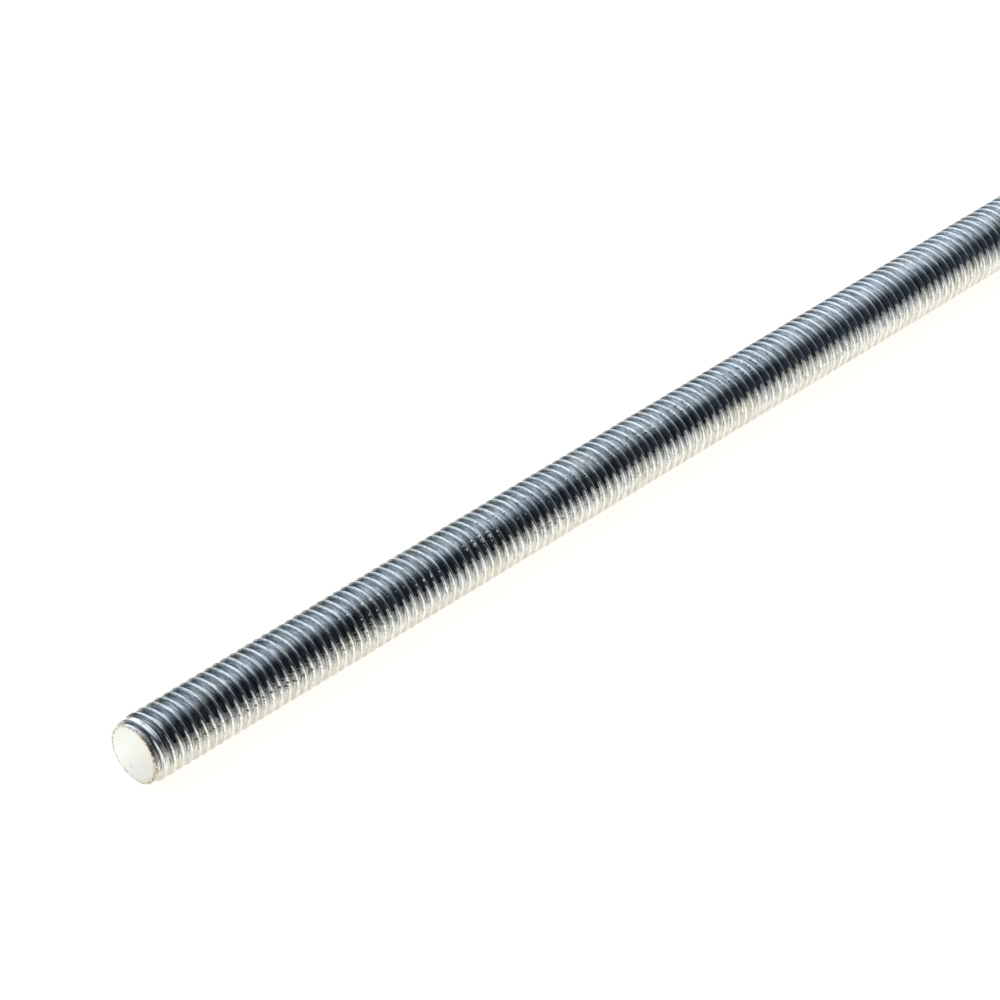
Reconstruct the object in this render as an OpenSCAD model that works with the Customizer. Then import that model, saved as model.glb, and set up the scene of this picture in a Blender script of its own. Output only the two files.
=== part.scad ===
// Threaded rod: a straight round steel bar with a coarse metric thread from end to end.
// The rod lies along +X, and the origin is the centre of its near end face.

/* [Rod] */
// Overall length, from end face to end face
rod_length = 250; // [30:1:1000]
// Major diameter, over the thread crests: nominal 10 less the allowance for the nut
major_d = 9.85; // [8:0.01:16]

/* [Thread] */
// Pitch, from one crest to the next
pitch = 1.5; // [0.75:0.05:2]
// Angle between the two flanks of a groove, in degrees
flank_angle = 60; // [55:1:60]

/* [Ends] */
// Length over which the crests grow from an end face to the major diameter
lead_in = 2.1; // [0.5:0.1:6]
// How far the bar is reduced on its radius at each end face
lead_in_depth = 0.53; // [0.1:0.01:1.2]

/* [Hidden] */
$fn = 96;

major_r = major_d / 2;
end_face_r = major_r - lead_in_depth;

// The thread form is cut from a sharp triangle: the crest loses an eighth of the pitch to a flat,
// and the groove is 17/24 of the triangle's height deep
sharp_height = pitch / 2 / tan(flank_angle / 2);
thread_depth = sharp_height * 17 / 24;
root_r = major_r - thread_depth;
crest_flat = pitch / 8;
// Length along the axis that each flank takes
flank_run = thread_depth * tan(flank_angle / 2);

// The crests lie evenly about the middle of the rod, so that both of its ends are alike
crests_each_side = ceil(rod_length / 2 / pitch);
middle = rod_length / 2;

// One crest as points (radius, distance along the rod), from groove to groove
function crest_points(centre) = [
    [root_r, centre - crest_flat / 2 - flank_run],
    [major_r, centre - crest_flat / 2],
    [major_r, centre + crest_flat / 2],
    [root_r, centre + crest_flat / 2 + flank_run]
];

// Half section of the thread, in whole pitches that reach past both end faces
module thread_section() {
    reach = crests_each_side * pitch;
    crests = [
        for (i = [-crests_each_side:crests_each_side - 1])
            each crest_points(middle + (i + 0.5) * pitch)
    ];
    polygon(concat(
        [[0, middle - reach], [root_r, middle - reach]],
        crests,
        [[root_r, middle + reach], [0, middle + reach]]
    ));
}

// Half section of the bar that the thread is formed in, with a lead-in at both ends
module bar_section() {
    polygon([
        [0, 0],
        [end_face_r, 0],
        [major_r, lead_in],
        [major_r, rod_length - lead_in],
        [end_face_r, rod_length],
        [0, rod_length]
    ]);
}

// The whole rod. Each turn of the fine thread is a ring here, at the thread's own pitch and form
module threaded_rod() {
    color([0.80, 0.82, 0.84])
        rotate([0, 90, 0])
            rotate_extrude()
                intersection() {
                    thread_section();
                    bar_section();
                }
}

threaded_rod();
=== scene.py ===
"""A zinc-plated threaded rod lying on a white table, seen along its length from its near end.

The rod is one closed mesh: a helical thread worked out on a grid, run out into a collar at each end and
closed by an end face. Lengths are in metres, and the rod lies along +X with the centre of its near end face
at the origin.
"""

import logging
import math
from dataclasses import dataclass, field
from enum import Enum
from typing import Any

import bpy
import numpy as np
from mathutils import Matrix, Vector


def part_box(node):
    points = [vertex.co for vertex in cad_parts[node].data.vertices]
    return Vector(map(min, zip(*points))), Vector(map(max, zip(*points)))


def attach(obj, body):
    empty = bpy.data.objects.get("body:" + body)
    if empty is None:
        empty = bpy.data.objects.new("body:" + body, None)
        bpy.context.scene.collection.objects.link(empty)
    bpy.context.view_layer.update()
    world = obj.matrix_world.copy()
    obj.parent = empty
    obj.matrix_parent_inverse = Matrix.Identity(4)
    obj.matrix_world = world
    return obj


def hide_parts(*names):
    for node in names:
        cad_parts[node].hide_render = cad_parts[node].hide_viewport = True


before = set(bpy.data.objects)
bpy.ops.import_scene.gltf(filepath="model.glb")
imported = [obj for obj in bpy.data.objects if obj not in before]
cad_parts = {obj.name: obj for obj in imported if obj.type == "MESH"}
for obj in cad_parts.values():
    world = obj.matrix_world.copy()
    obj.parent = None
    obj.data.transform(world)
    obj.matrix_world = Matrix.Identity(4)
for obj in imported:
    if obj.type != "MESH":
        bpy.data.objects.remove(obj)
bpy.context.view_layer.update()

log = logging.getLogger("threaded_rod")

MM = 0.001
FULL_TURN = 2 * math.pi
# Rows of the helical grid from one crest to the next
ROWS_PER_TURN = 12
NODE = "threaded_rod"


class Hand(Enum):
    """Which way the thread winds: a right-hand helix moves along +X as it turns from +Y towards +Z."""

    RIGHT = 1
    LEFT = -1


def smooth_min(a: np.ndarray, b: np.ndarray, reach: float) -> np.ndarray:
    """The lesser of two heights, blended by a parabola where they are closer than reach.

    Args:
        a: First height.
        b: Second height.
        reach: How far apart the heights may be and still blend.

    Returns:
        min(a, b), less a quarter of reach where the two are equal and nothing where they are reach apart.
    """
    overlap = np.maximum(reach - np.abs(a - b), 0.0) / reach
    return np.minimum(a, b) - overlap**2 * reach / 4


def smooth_max(a: np.ndarray, b: np.ndarray, reach: float) -> np.ndarray:
    """The greater of two heights, blended as smooth_min blends the lesser."""
    return -smooth_min(-np.asarray(a), -np.asarray(b), reach)


@dataclass(frozen=True)
class ThreadForm:
    """The section of a coarse metric thread as it comes from the rolls, rounded at the crest and the root.

    Start is the place of crest number nought at angle nought, in pitches.
    """

    pitch: float = 1.5 * MM
    flank_angle: float = math.radians(60)
    crest_flat_share: float = 1 / 8
    depth_share: float = 17 / 24
    crest_rounding: float = 0.15 * MM
    root_rounding: float = 0.22 * MM
    corner_limit: float = 0.97
    hand: Hand = Hand.RIGHT
    start: float = 0.715

    @property
    def flank_slope(self) -> float:
        """Fall of a flank for each unit of length along the axis."""
        return 1 / math.tan(self.flank_angle / 2)

    @property
    def depth(self) -> float:
        """Depth of the groove below the crests, as a share of the sharp triangle's height."""
        return self.pitch / 2 * self.flank_slope * self.depth_share

    @property
    def half_flat(self) -> float:
        """Half the width of a crest that is as high as it should be."""
        return self.pitch * self.crest_flat_share / 2

    def crest_place(self, turn: np.ndarray, angle: np.ndarray) -> np.ndarray:
        """Distance along the rod of a crest's middle: the pitch times the turns so far."""
        return self.pitch * (turn + self.start + self.hand.value * angle / FULL_TURN)

    def turn_of(self, along: np.ndarray, angle: np.ndarray) -> np.ndarray:
        """Number of the turn whose crest lies nearest to a place: the inverse of crest_place, rounded."""
        return np.round(along / self.pitch - self.start - self.hand.value * angle / FULL_TURN)

    def height(self, offset: np.ndarray, cap: np.ndarray, major: float) -> np.ndarray:
        """Radius of the thread at an offset from the middle of its crest.

        Two straight flanks fall from a crest that is cut off at the radius cap, and the groove's floor cuts
        them off below. Each meeting is a rounded corner.

        Args:
            offset: Distance along the axis from the crest's middle.
            cap: Radius that the crest reaches there.
            major: Radius of a whole crest.

        Returns:
            The radius.
        """
        flank = major + (self.half_flat - np.abs(offset)) * self.flank_slope
        crest = smooth_min(flank, cap, self.crest_rounding)
        return smooth_max(crest, major - self.depth, self.root_rounding)

    def row_offsets(self, cap: np.ndarray, major: float) -> np.ndarray:
        """Where the mesh has a row of points on one half of a crest, from its middle to its flank's foot.

        The first row is the crest's middle. Three lie in its rounded corner: at the corner's middle, and
        halfway from there to each of its ends. Two lie in the rounded foot of the flank: halfway into it,
        and at its middle. The corner's last row stays short of the foot's first one by corner_limit.

        Args:
            cap: Radius that each crest reaches.
            major: Radius of a whole crest.

        Returns:
            Offsets from the crest's middle, with one more axis in front for the six rows.
        """
        corner = self.half_flat + (major - cap) / self.flank_slope
        foot = self.half_flat + self.depth / self.flank_slope
        corner_half = self.crest_rounding / self.flank_slope / 2
        foot_half = self.root_rounding / self.flank_slope / 2
        start = foot - foot_half
        last = np.minimum(corner + corner_half, start * self.corner_limit)
        nought = np.zeros_like(corner)
        return np.stack([nought, corner - corner_half, corner, last, nought + start, nought + foot])


@dataclass(frozen=True)
class EndForm:
    """How the rod ends: a tapered lead-in, a collar where the groove runs out, and a flat face.

    The face's outer rings lie at shares of the rim's radius, and its other rings evenly inside face_share.
    The collar's edge would be a quarter circle at an edge_fullness of one, and is flatter below it.
    """

    lead_in: float = 2.1 * MM
    lead_in_depth: float = 0.53 * MM
    collar_width: float = 0.16 * MM
    collar_slope: float = 1.3
    collar_blend: float = 0.05 * MM
    edge_rounding: float = 0.09 * MM
    edge_fullness: float = 0.9
    outer_rings: tuple[float, ...] = (0.985, 0.96, 0.92, 0.885)
    face_share: float = 0.86

    def bar(self, depth_in: np.ndarray, major: float) -> np.ndarray:
        """Radius of the bar at a distance in from the end face: a cone that grows to the major radius."""
        reach = np.clip(depth_in / self.lead_in, 0.0, 1.0)
        return major - self.lead_in_depth * (1 - reach)

    def collar(self, depth_in: np.ndarray, major: float) -> np.ndarray:
        """Radius of the collar: a narrow band with a rounded edge, which falls away into the groove."""
        rim = major - self.lead_in_depth
        edge = np.clip(1 - depth_in / self.edge_rounding, 0.0, 1.0)
        rounded = rim - self.edge_rounding * (1 - np.sqrt(1 - self.edge_fullness * edge**2))
        return rounded - np.maximum(depth_in - self.collar_width, 0.0) * self.collar_slope


@dataclass
class ThreadedRod:
    """The rod: its thread as a helical grid, with a finer ring grid over the last turns at each end.

    The crests wander by crest_wander, in waves that are given as radians for each pitch along the rod and
    waves for each turn about it. Towards the ends the crests are broader by broad_crest to both sides.
    """

    length: float
    major: float
    form: ThreadForm = field(default_factory=ThreadForm)
    end: EndForm = field(default_factory=EndForm)
    columns: int = 44
    spare_turns: int = 3
    end_zone: float = 3.0 * MM
    end_rows: int = 64
    end_crowding: float = 1.15
    face_rows: int = 10
    ring_margin: float = 0.02 * MM
    crest_wander: float = 0.012 * MM
    wander_waves: tuple[tuple[float, int], ...] = ((0.31, 1), (0.77, 2), (1.9, 3), (0.5, 5))
    broad_crest: float = 0.21 * MM
    broad_fade: float = 1.1 * MM
    side_share: float = 0.7
    seed: int = 11

    def cap(self, along: np.ndarray, angle: np.ndarray) -> np.ndarray:
        """Radius that a crest reaches: the bar's, less a slow wander along the helix."""
        inwards = np.minimum(along, self.length - along)
        bar = self.end.bar(inwards, self.major)
        rng = np.random.default_rng(self.seed)
        wander = np.zeros(np.broadcast(along, angle).shape)
        pitches = along / self.form.pitch
        for per_pitch, per_turn in self.wander_waves:
            phase = rng.uniform(0, FULL_TURN)
            wander = wander + np.sin(pitches * per_pitch + per_turn * angle + phase)
        return bar - self.crest_wander * (1 + wander / len(self.wander_waves))

    def radius(self, along: np.ndarray, angle: np.ndarray) -> np.ndarray:
        """Radius of the rod's surface at a place along it and an angle about it.

        It is the thread's, with crests that broaden by a smooth step towards the ends, or the collar's
        where that is greater.

        Args:
            along: Distance along the rod.
            angle: Angle about it, from +Y towards +Z.

        Returns:
            The radius.
        """
        turn = self.form.turn_of(along, angle)
        place = self.form.crest_place(turn, angle)
        inwards = np.minimum(along, self.length - along)
        reach = np.clip((self.end_zone - inwards) / self.broad_fade, 0.0, 1.0)
        broad = self.broad_crest * reach**2 * (3 - 2 * reach)
        offset = np.maximum(np.abs(along - place) - broad, 0.0)
        thread = self.form.height(offset, self.cap(place, angle), self.major)
        return smooth_max(thread, self.end.collar(inwards, self.major), self.end.collar_blend)

    def helix_rows(self) -> tuple[np.ndarray, np.ndarray]:
        """The points of the helical grid as distances along the rod, twelve rows to a turn, and as angles.

        The first row of a turn is its crest's middle. The next five go down its far flank, the seventh lies
        at the bottom of the groove, and the last five climb the near flank of the next crest. The grid has
        spare turns beyond both ends, which build leaves out.

        Returns:
            Distances along the rod, rows by columns, and the columns' angles.
        """
        angle = np.linspace(0, FULL_TURN, self.columns, endpoint=False)
        turns = np.arange(-self.spare_turns, math.ceil(self.length / self.form.pitch) + self.spare_turns)
        turns = turns[:, None]
        crest = self.form.crest_place(turns, angle)
        offsets = self.form.row_offsets(self.cap(crest, angle), self.major)
        after = crest[None] + offsets
        before = (crest[None] - offsets)[:, 1:]
        groove = crest[:-1] + self.form.pitch / 2
        rows = np.concatenate([after[:, :-1], groove[None], before[:0:-1]])
        return rows.transpose(1, 0, 2).reshape(-1, self.columns), angle

    def build(self) -> bpy.types.Object:
        """Makes the rod's mesh, closed at both ends.

        Points of the helical grid that lie outside its zone are drawn together into the ring where the
        end's own grid starts. After a full turn about the rod, a row meets the row one pitch further on.

        Returns:
            The object, at the origin.
        """
        mesh = GridMesh()
        along, angle = self.helix_rows()
        first, last = self.end_zone, self.length - self.end_zone
        rings = []
        for place in (first, last):
            rings.append(mesh.add(self.points(np.full(self.columns, place), angle)))
        index = np.full(along.shape, -1)
        before, after = along <= first + self.ring_margin, along >= last - self.ring_margin
        inside = ~before & ~after
        radius = self.radius(along, angle[None])
        points = self.surface_points(along, radius, np.broadcast_to(angle, along.shape))
        index[inside] = mesh.add(points[inside])
        index = np.where(before, rings[0][None], index)
        index = np.where(after, rings[1][None], index)
        step = ROWS_PER_TURN * self.form.hand.value
        wrapped = np.concatenate([index, np.roll(index[:, :1], -step, axis=0)], axis=1)
        mesh.quads(wrapped[ROWS_PER_TURN:-ROWS_PER_TURN])
        self.close_end(mesh, rings[0], angle, near=True)
        self.close_end(mesh, rings[1], angle, near=False)
        rod = mesh.to_object("threaded_rod_plated")
        self.shade(rod.data)
        return rod

    def shade(self, data: bpy.types.Mesh) -> None:
        """Gives the sides of the rod the normals of the true surface, which the mesh only samples.

        A surface whose radius r varies with the distance x along it and the angle t about it has the normal
        (-dr/dx, cos t + sin t * dr/dt / r, sin t - cos t * dr/dt / r). The slopes are taken over a small
        step to both sides. The end faces keep the mesh's own normals.

        Args:
            data: The rod's mesh.
        """
        count = len(data.vertices)
        place = np.empty(count * 3)
        data.vertices.foreach_get("co", place)
        place = place.reshape(-1, 3)
        normal = np.empty(count * 3)
        data.vertex_normals.foreach_get("vector", normal)
        normal = normal.reshape(-1, 3)
        along, angle = place[:, 0], np.arctan2(place[:, 2], place[:, 1])
        radius = np.hypot(place[:, 1], place[:, 2])
        step, turn = 0.004 * MM, 0.001
        slope = (self.radius(along + step, angle) - self.radius(along - step, angle)) / (2 * step)
        sway = (self.radius(along, angle + turn) - self.radius(along, angle - turn)) / (2 * turn)
        sway /= radius.clip(MM)
        cos, sin = np.cos(angle), np.sin(angle)
        true = np.stack([-slope, cos + sin * sway, sin - cos * sway], axis=-1)
        true /= np.linalg.norm(true, axis=1, keepdims=True)
        inwards = np.minimum(along, self.length - along)
        side = (inwards > 2 * step) & (radius > self.side_share * self.major)
        normal[side] = true[side]
        data.normals_split_custom_set_from_vertices(normal)

    def points(self, along: np.ndarray, angle: np.ndarray) -> np.ndarray:
        """Points on the rod's surface at places along it and angles about it."""
        return self.surface_points(along, self.radius(along, angle), angle)

    @staticmethod
    def surface_points(along: np.ndarray, radius: np.ndarray, angle: np.ndarray) -> np.ndarray:
        """Cylinder coordinates to X, Y, Z: the angle turns from +Y towards +Z."""
        return np.stack([along, radius * np.cos(angle), radius * np.sin(angle)], axis=-1)

    def close_end(self, mesh: "GridMesh", ring: np.ndarray, angle: np.ndarray, near: bool) -> None:
        """Adds the fine rings over the last turns and the end face.

        Args:
            mesh: The mesh to add to.
            ring: Point numbers of the helical grid's last ring.
            angle: The columns' angles.
            near: True at the near end, False at the far end.
        """
        share = np.linspace(0, 1, self.end_rows + 1)[1:]
        inwards = self.end_zone * (1 - share) ** self.end_crowding
        along = inwards if near else self.length - inwards
        grid_along, grid_angle = np.meshgrid(along, angle, indexing="ij")
        sides = mesh.add(self.points(grid_along, grid_angle).reshape(-1, 3)).reshape(-1, self.columns)
        face_place = 0.0 if near else self.length
        rim = self.radius(np.full(self.columns, face_place), angle)
        inner = np.linspace(1, 0, self.face_rows + 2)[1:-1]
        shares = np.concatenate([self.end.outer_rings, self.end.face_share * inner])
        radius = rim[None] * shares[:, None]
        around = np.broadcast_to(angle, radius.shape)
        grid = self.surface_points(np.full(radius.shape, face_place), radius, around)
        faces = mesh.add(grid.reshape(-1, 3)).reshape(-1, self.columns)
        centre = mesh.add(np.array([[face_place, 0.0, 0.0]]))
        cap = np.repeat(centre[None], self.columns, axis=1)
        rows = np.concatenate([ring[None], sides, faces, cap])
        rows = np.concatenate([rows, rows[:, :1]], axis=1)
        mesh.quads(rows[::-1] if near else rows)


@dataclass
class GridMesh:
    """Points and triangles gathered from grids that may share points."""

    points: list[np.ndarray] = field(default_factory=list)
    faces: list[np.ndarray] = field(default_factory=list)
    count: int = 0

    def add(self, points: np.ndarray) -> np.ndarray:
        """Adds points and returns their numbers."""
        numbers = np.arange(self.count, self.count + len(points))
        self.points.append(points)
        self.count += len(points)
        return numbers

    def quads(self, index: np.ndarray) -> None:
        """Adds two triangles for each cell of a grid of point numbers, but none that names a point twice.

        Args:
            index: Point numbers, rows by columns.
        """
        a, b, c, d = index[:-1, :-1], index[1:, :-1], index[1:, 1:], index[:-1, 1:]
        made = np.concatenate([np.stack(t, -1).reshape(-1, 3) for t in ((a, d, c), (a, c, b))])
        whole = (made[:, 0] != made[:, 1]) & (made[:, 1] != made[:, 2]) & (made[:, 2] != made[:, 0])
        self.faces.append(made[whole])

    def to_object(self, name: str) -> bpy.types.Object:
        """Puts the points and triangles into a new object.

        Args:
            name: The object's name.

        Returns:
            The object.
        """
        points = np.concatenate(self.points)
        faces = np.concatenate(self.faces)
        data = bpy.data.meshes.new(name)
        data.from_pydata(points, [], faces)
        data.update()
        thing = bpy.data.objects.new(name, data)
        bpy.context.scene.collection.objects.link(thing)
        data.polygons.foreach_set("use_smooth", np.ones(len(data.polygons), bool))
        log.info("%s: %d points, %d faces", name, len(points), len(faces))
        return thing


class Wire:
    """The output of a shader node. Python's operators on it add Math or Vector Math nodes."""

    def __init__(self, nodes: "Nodes", socket: bpy.types.NodeSocket) -> None:
        """Keeps the node book that the wire belongs to, and the socket."""
        self.nodes = nodes
        self.socket = socket
        self.is_vector = socket.type in {"VECTOR", "RGBA"}

    def math(self, operation: str, *others: "Wire | float") -> "Wire":
        """Adds a Math node, or a Vector Math node on a vector, with this wire first."""
        kind = "ShaderNodeVectorMath" if self.is_vector else "ShaderNodeMath"
        return self.nodes.make(kind, {"operation": operation}, [self, *others])

    def __add__(self, other: "Wire | float") -> "Wire":
        """Sum."""
        return self.math("ADD", other)

    __radd__ = __add__

    def __mul__(self, other: "Wire | float") -> "Wire":
        """Product. A vector times a number is a Scale."""
        if self.is_vector and not (isinstance(other, Wire) and other.is_vector or isinstance(other, tuple)):
            pads = {0: self, "Scale": other}
            return self.nodes.make("ShaderNodeVectorMath", {"operation": "SCALE"}, pads)
        return self.math("MULTIPLY", other)

    __rmul__ = __mul__

    def __sub__(self, other: "Wire | float") -> "Wire":
        """Difference."""
        return self.math("SUBTRACT", other)

    def __rsub__(self, other: float) -> "Wire":
        """Number less this wire."""
        return self.nodes.make("ShaderNodeMath", {"operation": "SUBTRACT"}, [other, self])

    def __truediv__(self, other: "Wire | float") -> "Wire":
        """Quotient."""
        return self.math("DIVIDE", other)

    def __pow__(self, power: float) -> "Wire":
        """Power."""
        return self.math("POWER", power)

    def ramp(self, low: float, high: float) -> "Wire":
        """Smooth step: nought at low, one at high. Low may be the greater of the two."""
        return self.nodes.make(
            "ShaderNodeMapRange", {"interpolation_type": "SMOOTHSTEP"},
            {"Value": self, "From Min": low, "From Max": high},
        )


class Nodes:
    """Adds nodes to one material's or world's tree."""

    def __init__(self, owner: bpy.types.Material | bpy.types.World) -> None:
        """Turns the owner's nodes on and empties its tree."""
        owner.use_nodes = True
        self.tree = owner.node_tree
        self.tree.nodes.clear()

    def make(
        self,
        kind: str,
        settings: dict[str, Any] | None = None,
        sockets: dict[int | str, Any] | list[Any] | None = None,
        out: int | str = 0,
    ) -> Wire | None:
        """Adds a node.

        Args:
            kind: The node's type.
            settings: Its properties, set before its sockets.
            sockets: Values or wires, by socket name or number, or in the order of the sockets.
            out: Which output to return.

        Returns:
            The output as a wire, or nothing where the node has no output.
        """
        node = self.tree.nodes.new(kind)
        for name, value in (settings or {}).items():
            setattr(node, name, value)
        pairs = sockets.items() if isinstance(sockets, dict) else enumerate(sockets or [])
        for name, value in pairs:
            socket = node.inputs[name]
            if isinstance(value, Wire):
                self.tree.links.new(value.socket, socket)
            else:
                socket.default_value = value
        return Wire(self, node.outputs[out]) if node.outputs else None

    def mix(self, factor: Wire | float, first: Any, second: Any) -> Wire:
        """Mixes two colours: the first where the factor is nought, the second where it is one."""
        pads = {6: self.rgba(first), 7: self.rgba(second), 0: factor}
        return self.make("ShaderNodeMix", {"data_type": "RGBA"}, pads, out=2)

    def noise(self, where: Wire, turn: Wire | float, detail: float, roughness: float = 0.5) -> Wire:
        """Noise in four dimensions, scale one."""
        return self.make(
            "ShaderNodeTexNoise", {"noise_dimensions": "4D"},
            {"Vector": where, "W": turn, "Scale": 1.0, "Detail": detail, "Roughness": roughness},
        )

    def vector(self, x: Wire | float, y: Wire | float, z: Wire | float) -> Wire:
        """A vector from its three parts."""
        return self.make("ShaderNodeCombineXYZ", {}, [x, y, z])

    def parts(self, vector: Wire) -> list[Wire]:
        """The three parts of a vector."""
        first = self.make("ShaderNodeSeparateXYZ", {}, [vector])
        return [Wire(self, output) for output in first.socket.node.outputs]

    @staticmethod
    def rgba(colour: Any) -> Any:
        """A colour with its fourth value, or a wire as it is."""
        return colour if isinstance(colour, Wire) else (*colour, 1.0)


@dataclass(frozen=True)
class RodPlace:
    """Where a shaded point lies on the rod, as wires. Lengths are in millimetres.

    The direction out from the axis has the parts across (Y) and up (Z). Crests are numbered along the rod,
    and past_crest is the share of a pitch, from minus a half to a half, that the point lies past the nearest
    one. Inwards is the distance to the nearer end face.
    """

    point: Wire
    x: Wire
    y: Wire
    z: Wire
    radius: Wire
    across: Wire
    up: Wire
    number: Wire
    past_crest: Wire
    inwards: Wire

    def towards(self, degrees: float) -> Wire:
        """Cosine of the angle about the axis to a direction, which is counted from +Y towards +Z."""
        turn = math.radians(degrees)
        return self.across * math.cos(turn) + self.up * math.sin(turn)


@dataclass(frozen=True)
class Grains:
    """The noises that the finish is made of.

    Lines, swell and scores are drawn out along the thread: its rolling lines, broad waves and scratches.
    Fine and mottle are specks of about a quarter and a half of a millimetre, drift is the slow change of
    tone along the rod, and grain is the end face's own.
    """

    lines: Wire
    swell: Wire
    scores: Wire
    fine: Wire
    mottle: Wire
    drift: Wire
    grain: Wire


@dataclass(frozen=True)
class MarkBand:
    """A row of small marks that the rolls leave at the same angle on turn after turn.

    The angle and the reach to both sides of it are in degrees, the first and last places along the rod in
    millimetres. A strength above nought makes dark pits, and one below nought makes raised glints.
    """

    angle: float
    reach: float
    first: float
    last: float
    past_crest: float
    strength: float
    fade_in: float = 6.0
    fade_out: float = 12.0

    def where(self, at: RodPlace) -> Wire:
        """How strongly the marks show at a place.

        The cosine to the band's angle gives the reach about the rod, and smooth steps give its ends along
        the rod and its reach to both sides of a line beside the crest.

        Args:
            at: The place.

        Returns:
            The strength, nought outside the band.
        """
        low, high = (math.cos(math.radians(degrees)) for degrees in (self.reach * 1.4, self.reach * 0.6))
        beside = (at.past_crest - self.past_crest).math("ABSOLUTE").ramp(0.26, 0.12)
        starts = at.x.ramp(self.first - self.fade_in, self.first)
        stops = at.x.ramp(self.last + self.fade_out, self.last)
        return at.towards(self.angle).ramp(low, high) * beside * starts * stops * self.strength


@dataclass(frozen=True)
class BrightZinc:
    """Bright zinc plating: bluish metal whose bright crests are partly a painted highlight, fine rolling
    lines and worn white end faces.
    """

    rod: ThreadedRod
    colour: tuple[float, float, float] = (0.565, 0.610, 0.650)
    warm: tuple[float, float, float] = (0.64, 0.625, 0.585)
    # Colour of the bright line beside each crest: partly burnished metal, partly a painted highlight.
    lip_highlight_colour: tuple[float, float, float] = (0.88, 0.89, 0.89)
    # Painted sheen that lightens the far flanks.
    far_flank_sheen_tint: tuple[float, float, float] = (1.24, 1.19, 1.10)
    # Painted reflection of the white table on the underside.
    table_reflection_colour: tuple[float, float, float] = (0.80, 0.79, 0.75)
    pit_colour: tuple[float, float, float] = (0.13, 0.11, 0.09)
    face_colour: tuple[float, float, float] = (0.88, 0.92, 0.95)
    rim_colour: tuple[float, float, float] = (0.84, 0.80, 0.73)
    spot_colour: tuple[float, float, float] = (0.42, 0.47, 0.42)
    rust_colour: tuple[float, float, float] = (0.24, 0.16, 0.10)
    collar_colour: tuple[float, float, float] = (0.20, 0.14, 0.11)
    metal_roughness: float = 0.08
    face_roughness: float = 0.45
    worn_side: float = 154.7
    spot_place: tuple[float, float] = (0.6, -2.22)
    marks: tuple[MarkBand, ...] = (
        MarkBand(168.0, 9.0, 8.0, 20.0, -0.30, 1.0),
        MarkBand(160.0, 11.0, 18.0, 44.0, -0.30, 0.9),
        MarkBand(166.0, 10.0, 74.0, 90.0, -0.30, 0.7),
        MarkBand(126.0, 9.0, 40.0, 76.0, -0.04, -1.0),
        MarkBand(104.0, 10.0, 66.0, 118.0, -0.02, -0.8),
    )

    def build(self) -> bpy.types.Material:
        """Makes the material.

        Returns:
            The material, on Object coordinates in millimetres.
        """
        material = bpy.data.materials.new("bright_zinc")
        nodes = Nodes(material)
        at = self.place(nodes)
        grains = self.grains(nodes, at)
        pits, glints = self.pits_and_glints(nodes, at)
        worn = at.towards(self.worn_side).ramp(-0.1, 0.8)
        stain = at.inwards.ramp(0.62, 0.22) * (worn * 0.9 + 0.1) * grains.fine.ramp(0.34, 0.56)
        on_face = at.inwards.ramp(0.08, 0.03)

        colour = nodes.mix(pits * 0.9, self.thread_colour(nodes, at, grains), self.pit_colour)
        colour = nodes.mix(stain * 0.85, colour, self.collar_colour)
        colour = nodes.mix(on_face, colour, self.end_colour(nodes, at, grains, worn))

        roughness = self.metal_roughness + at.x.ramp(0.0, 190.0) * 0.06
        roughness = roughness + (grains.lines - 0.5) * 0.06 + (grains.mottle - 0.5) * 0.08
        roughness = roughness + pits * 0.05 + stain * 0.3
        roughness = roughness + on_face * (self.face_roughness - roughness)

        height = grains.lines * 0.015 + grains.scores * 0.006 + grains.swell * 0.040 + grains.mottle * 0.004
        height = (height - pits * 0.026 + glints * 0.07) * (1 - on_face * 0.7)
        normal = nodes.make("ShaderNodeBump", {}, {"Strength": 1.0, "Distance": 1.0, "Height": height * MM})
        shader = nodes.make(
            "ShaderNodeBsdfPrincipled", {},
            {"Base Color": colour, "Metallic": 1.0, "Roughness": roughness, "Normal": normal},
        )
        nodes.make("ShaderNodeOutputMaterial", {}, {"Surface": shader})
        return material

    def place(self, nodes: Nodes) -> RodPlace:
        """Works out where a point lies.

        Its distance along the rod in pitches, less its angle in turns, gives the number of the nearest crest
        when it is rounded, and what is left is the share of a pitch past that crest.

        Args:
            nodes: The material's node book.

        Returns:
            The place.
        """
        form = self.rod.form
        point = nodes.make("ShaderNodeTexCoord", out="Object") * (1 / MM)
        x, y, z = nodes.parts(point)
        radius = (y * y + z * z) ** 0.5
        angle = z.math("ARCTAN2", y)
        turns = x * (MM / form.pitch) - angle * (form.hand.value / FULL_TURN) - form.start
        number = (turns + 0.5).math("FLOOR")
        middle = self.rod.length / MM / 2
        inwards = middle - (x - middle).math("ABSOLUTE")
        return RodPlace(point, x, y, z, radius, y / radius, z / radius, number, turns - number, inwards)

    @staticmethod
    def grains(nodes: Nodes, at: RodPlace) -> Grains:
        """Makes the noises, each with its own size and its own slice of the fourth dimension.

        Args:
            nodes: The material's node book.
            at: The place.

        Returns:
            The noises.
        """

        def swept(first: Wire, around: float, turn: float, detail: float) -> Wire:
            """Noise that is drawn out along the thread, and differs from one turn to the next."""
            where = nodes.vector(first, at.across * around, at.up * around)
            return nodes.noise(where, at.number * turn, detail)

        return Grains(
            lines=swept(at.radius * 4.4 + at.past_crest * 2.2, 1.9, 0.6, 2.0),
            swell=swept(at.radius * 1.5, 2.1, 1.7, 1.5),
            scores=swept(at.radius * 11.0, 3.0, 0.8, 1.0),
            fine=nodes.noise(at.point * 3.6, 6.0, 1.0),
            mottle=nodes.noise(at.point * 2.4, 0.0, 1.5, 0.6),
            drift=nodes.noise(nodes.vector(at.x * 0.16, at.across * 1.3, at.up * 1.3), 4.0, 2.0),
            grain=nodes.noise(at.point * 9.0, 2.0, 3.0),
        )

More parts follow.
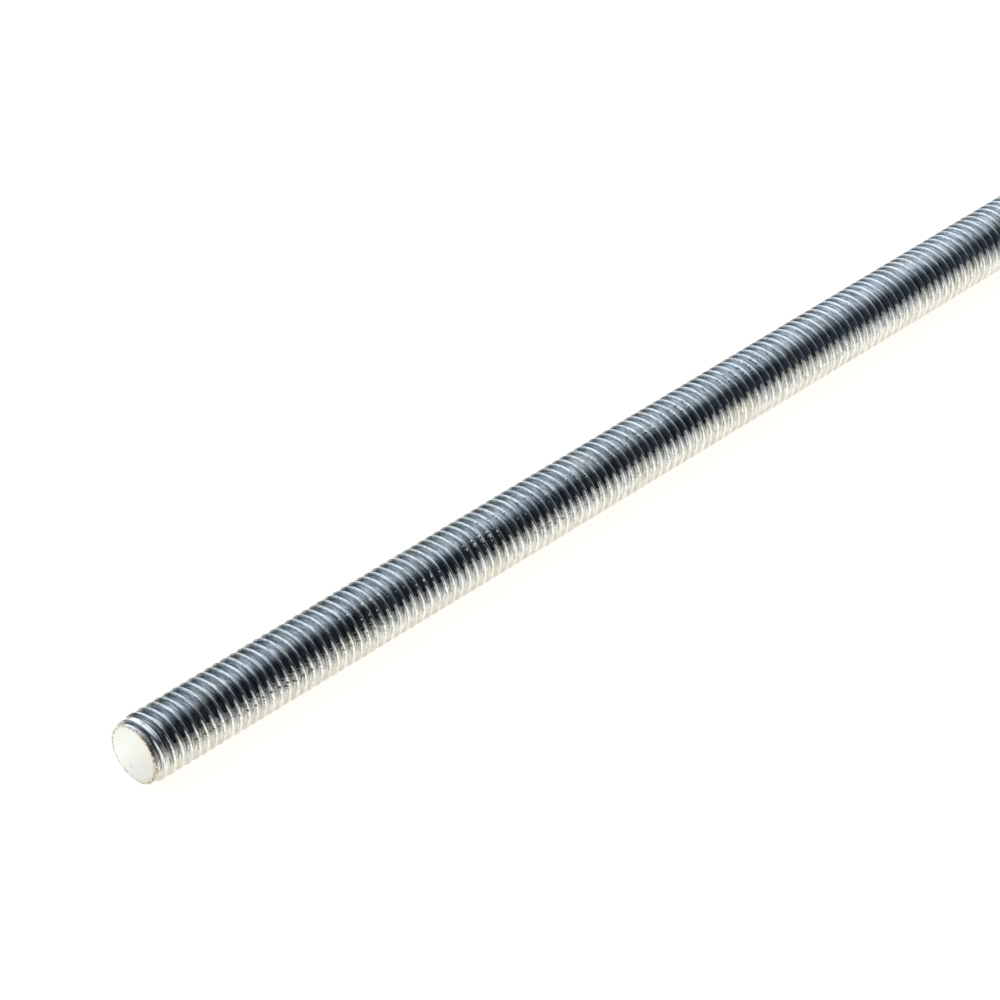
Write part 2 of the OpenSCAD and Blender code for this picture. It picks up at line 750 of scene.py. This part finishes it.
    def pits_and_glints(self, nodes: Nodes, at: RodPlace) -> tuple[Wire, Wire]:
        """Breaks the bands of marks up into round spots.

        Args:
            nodes: The material's node book.
            at: The place.

        Returns:
            How strongly the dark pits show, and how strongly the raised glints do.
        """
        spots = nodes.make(
            "ShaderNodeTexVoronoi", {"voronoi_dimensions": "4D"},
            {
                "Vector": nodes.vector(at.across * 9.4, at.up * 9.4, at.past_crest * 2.9),
                "W": at.number * 0.17,
                "Scale": 1.0,
            },
        )
        marks = sum(band.where(at) for band in self.marks) * spots.ramp(0.50, 0.30)
        return marks.math("MAXIMUM", 0.0), (0.0 - marks).math("MAXIMUM", 0.0)

    def thread_colour(self, nodes: Nodes, at: RodPlace, grains: Grains) -> Wire:
        """Colour of the thread.

        The metal has streaks along the thread. Painted shade makes it a little darker towards the near end,
        in the hollow just below the crest's near edge, at the foot of the near flank and on the side towards
        +Y. A painted sheen makes the far flanks lighter, and a painted reflection of the table makes the
        underside pale and even. A ragged bright line runs beside each crest, partly a burnished crest and
        partly a painted highlight, and on the lead-in the crests that were cut short are painted bright over
        their whole width as a highlight.

        Args:
            nodes: The material's node book.
            at: The place.
            grains: The noises.

        Returns:
            The colour.
        """
        # Where the bright line beside each crest lies: partly a burnished crest, partly a painted highlight.
        lip_highlight = (at.past_crest + 0.09 + (grains.fine - 0.5) * 0.10).math("ABSOLUTE").ramp(0.08, 0.035)
        # Where painted shade falls, in the hollow just below the crest's near edge.
        hollow = (at.past_crest + 0.18).math("ABSOLUTE").ramp(0.07, 0.02)
        # Where the painted sheen lies, on the far flanks.
        far_flank_sheen = at.past_crest.ramp(0.04, 0.14) * at.past_crest.ramp(0.50, 0.42)
        lost = self.rod.end.lead_in_depth / MM
        lead_in = self.rod.end.lead_in / MM
        cone = self.rod.major / MM - lost + at.inwards * (lost / lead_in)
        # Painted highlight over the whole width of the crests cut short on the lead-in.
        cut_crest_highlight = (at.radius - cone).ramp(-0.20, -0.06) * at.inwards.ramp(lead_in + 0.5, lead_in - 0.1)
        # Where the painted reflection of the table lies, on the underside.
        underside_reflection = at.up.ramp(0.10, -0.40)

        colour = nodes.mix(grains.drift.ramp(0.42, 0.72) * 0.7, self.colour, self.warm)
        streaks = 0.68 + grains.lines.ramp(0.38, 0.62) * 0.56
        scratches = 1 - grains.scores.ramp(0.54, 0.63) * 0.42
        colour = colour * (streaks * scratches) * (0.87 + grains.swell.ramp(0.36, 0.64) * 0.24)
        # Painted shade: the metal is darker towards the near end.
        colour = colour * (0.82 + at.x.ramp(-20.0, 150.0) * 0.20)
        # Painted shade in the hollow below the crest's near edge, at the foot of the near flank and on the
        # side towards +Y; the cut-short crests on the lead-in are spared it.
        shade = (1 - hollow * 0.26) * (1 - at.past_crest.ramp(-0.22, -0.34) * 0.14)
        shade = shade * (1 - at.across.ramp(-0.05, 0.15) * 0.15)
        colour = colour * (shade + cut_crest_highlight * (1 - shade))
        # Painted sheen on the far flanks.
        colour = colour * nodes.mix(far_flank_sheen, (1.0, 1.0, 1.0), self.far_flank_sheen_tint)
        # Painted reflection of the table: the underside is pale and even.
        colour = nodes.mix(underside_reflection * 0.62, colour, self.table_reflection_colour)
        # Painted highlight: the line beside each crest and the cut-short crests, faded on the underside.
        bright = lip_highlight.math("MAXIMUM", cut_crest_highlight * 0.45) * (1 - underside_reflection * 0.75)
        bright = bright * (0.45 + grains.mottle.ramp(0.36, 0.58) * 0.55)
        return nodes.mix(bright, colour, self.lip_highlight_colour) * (0.84 + grains.fine * 0.32)

    def end_colour(self, nodes: Nodes, at: RodPlace, grains: Grains, worn: Wire) -> Wire:
        """Colour of an end face: nearly white, with a creamy rim, a broken brown outline and a faint spot.

        The spot is on the near end face only.

        Args:
            nodes: The material's node book.
            at: The place.
            grains: The noises.
            worn: How near the place is to the worn side, from nought to one.

        Returns:
            The colour.
        """
        face = nodes.mix(grains.grain.ramp(0.3, 0.7) * 0.35, self.face_colour, self.colour)
        face = nodes.mix(grains.drift.ramp(0.42, 0.60) * 0.4, face, self.rim_colour)
        ragged = at.radius + (grains.mottle - 0.5) * 0.34
        rim = ragged.ramp(3.62, 3.86) * (0.25 + at.across.ramp(0.4, -0.4) * 0.7)
        face = nodes.mix(rim, face, self.rim_colour)

        spot_y, spot_z = self.spot_place
        aside, above = at.y - spot_y, at.z - spot_z
        gap = (aside * aside + above * above) ** 0.5
        face = nodes.mix(gap.ramp(0.34, 0.12) * at.x.ramp(1.0, 0.5) * 0.45, face, self.spot_colour)

        outline = (ragged - 4.12).math("ABSOLUTE").ramp(0.16, 0.05)
        outline = outline * grains.fine.ramp(0.44, 0.56) * at.across.ramp(-0.2, 0.5)
        edge = ragged.ramp(4.10, 4.22) * grains.fine.ramp(0.54, 0.62)
        worn_edge = worn * ragged.ramp(4.0, 4.2) * grains.fine.ramp(0.42, 0.56)
        return nodes.mix((outline + edge + worn_edge) * 0.8, face, self.rust_colour)


@dataclass(frozen=True)
class SoftLight:
    """A round patch of light in the surroundings: even up to its inner angle, gone at its outer angle.

    The angles are in degrees. Height is counted from the horizon, and the bearing from +X towards +Y.
    """

    height: float
    bearing: float
    inner: float
    outer: float
    colour: tuple[float, float, float]

    def glow(self, nodes: Nodes, towards: Wire) -> Wire:
        """Colour of the patch in a direction: its own, times a smooth step of the angle to its middle.

        Args:
            nodes: The world's node book.
            towards: The direction.

        Returns:
            The colour.
        """
        rise, turn = math.radians(self.height), math.radians(self.bearing)
        middle = (math.cos(rise) * math.cos(turn), math.cos(rise) * math.sin(turn), math.sin(rise))
        cosine = nodes.make(
            "ShaderNodeVectorMath", {"operation": "DOT_PRODUCT"}, [towards, middle], out="Value"
        )
        shade = cosine.math("ARCCOSINE").ramp(math.radians(self.outer), math.radians(self.inner))
        return nodes.vector(*self.colour) * shade


@dataclass(frozen=True)
class Studio:
    """The table, the light and the camera."""

    camera_place: tuple[float, float, float] = (-0.32237, -0.38727, 0.40815)
    camera_heading: float = math.radians(45.329)
    camera_pitch: float = math.radians(36.139)
    lens: float = 174.8
    sensor: float = 36.0
    table_half: float = 3.0
    lights: tuple[SoftLight, ...] = (
        SoftLight(20.0, 36.0, 19.0, 84.0, (1.37, 1.44, 1.51)),
        SoftLight(57.0, 137.0, 6.0, 58.0, (1.03, 1.18, 1.31)),
        SoftLight(8.0, 54.0, 6.0, 22.0, (0.36, 0.40, 0.42)),
        SoftLight(27.0, 87.0, 6.0, 26.0, (0.20, 0.23, 0.25)),
        SoftLight(6.0, 135.0, 10.0, 36.0, (0.20, 0.24, 0.26)),
        SoftLight(44.0, -8.0, 5.0, 20.0, (0.52, 0.55, 0.57)),
        SoftLight(0.0, -54.0, 5.0, 32.0, (0.30, 0.28, 0.24)),
    )
    ambient: tuple[float, float, float] = (0.038, 0.050, 0.062)

    def camera(self) -> bpy.types.Object:
        """Adds the camera. Its heading is the angle from +Y towards +X, and its pitch is downwards."""
        data = bpy.data.cameras.new("camera")
        data.lens = self.lens
        data.sensor_width = self.sensor
        data.clip_start = 0.01
        data.clip_end = 100
        thing = bpy.data.objects.new("camera", data)
        thing.location = self.camera_place
        thing.rotation_euler = (math.pi / 2 - self.camera_pitch, 0.0, -self.camera_heading)
        bpy.context.scene.collection.objects.link(thing)
        bpy.context.scene.camera = thing
        return thing

    def table(self, height: float) -> bpy.types.Object:
        """Adds the table top at a height.

        Args:
            height: Its height, which is that of the rod's lowest point.

        Returns:
            The table.
        """
        half = self.table_half
        corners = [(x * half, y * half, height) for x, y in ((-1, -1), (1, -1), (1, 1), (-1, 1))]
        data = bpy.data.meshes.new("table")
        data.from_pydata(corners, [], [(0, 1, 2, 3)])
        thing = bpy.data.objects.new("table", data)
        bpy.context.scene.collection.objects.link(thing)
        data.materials.append(self.table_finish())
        return thing

    def table_finish(self) -> bpy.types.Material:
        """Makes the table's white: matt, with a glow for the camera and for the metal's reflections of it.

        The camera sees it as white, with a faint shadow under the rod. What the metal reflects is a painted
        pool of
        light: a glowing strip of table along the rod, brightest beside it, dimmed beneath it by painted
        shade and glowing again far in front.

        Returns:
            The material.
        """
        material = bpy.data.materials.new("table_white")
        nodes = Nodes(material)
        _, y, _ = nodes.parts(nodes.make("ShaderNodeTexCoord", out="Object") * (1 / MM))
        # For glossy rays the glow is a painted pool of light: a strip along the rod, brighter beside it and
        # far in front, with painted shade just beneath the rod.
        lit_strip = y.ramp(-34.0, -10.0) * y.ramp(90.0, 12.0)
        front_floor = y.ramp(-200.0, -500.0)
        beside_rod = y.math("ABSOLUTE").ramp(14.0, 6.0)
        painted_shade_under_rod = y.ramp(-5.4, -3.4) * y.ramp(5.0, 3.0)
        painted_pool = 0.27 + lit_strip * 0.66 + front_floor * 0.40 + beside_rod * 0.20 - painted_shade_under_rod * 0.22
        camera_ray = nodes.make("ShaderNodeLightPath", out="Is Camera Ray")
        glossy_ray = nodes.make("ShaderNodeLightPath", out="Is Glossy Ray")
        glow = camera_ray * 0.93 + glossy_ray * painted_pool
        tint = nodes.mix(camera_ray, (1.05, 1.0, 0.87), (1.0, 0.972, 0.93))
        matt = nodes.make("ShaderNodeBsdfDiffuse", {}, {"Color": (0.30, 0.30, 0.29, 1.0)})
        light = nodes.make("ShaderNodeEmission", {}, {"Color": tint, "Strength": glow})
        both = nodes.make("ShaderNodeAddShader", {}, [matt, light])
        nodes.make("ShaderNodeOutputMaterial", {}, {"Surface": both})
        return material

    def world(self) -> None:
        """Sets the surroundings: soft patches of light for the object, and white for the camera."""
        world = bpy.data.worlds.new("studio")
        bpy.context.scene.world = world
        nodes = Nodes(world)
        towards = nodes.make("ShaderNodeTexCoord", out="Generated")
        total = nodes.vector(*self.ambient)
        for light in self.lights:
            total = total + light.glow(nodes, towards)
        camera_ray = nodes.make("ShaderNodeLightPath", out="Is Camera Ray")
        seen = nodes.mix(camera_ray, total, (1.0, 1.0, 1.0))
        back = nodes.make("ShaderNodeBackground", {}, {"Color": seen})
        nodes.make("ShaderNodeOutputWorld", {}, {"Surface": back})


def main() -> None:
    """Builds the rod, its finish and the studio."""
    logging.basicConfig(level=logging.INFO)
    bpy.context.scene.view_settings.view_transform = "Standard"
    low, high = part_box(NODE)
    rod = ThreadedRod(length=high.x - low.x, major=(high.z - low.z) / 2)
    piece = rod.build()
    piece.data.materials.append(BrightZinc(rod).build())
    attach(piece, "root")
    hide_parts(NODE)
    studio = Studio()
    studio.camera()
    studio.table(low.z)
    studio.world()


if __name__ == "__main__":
    main()
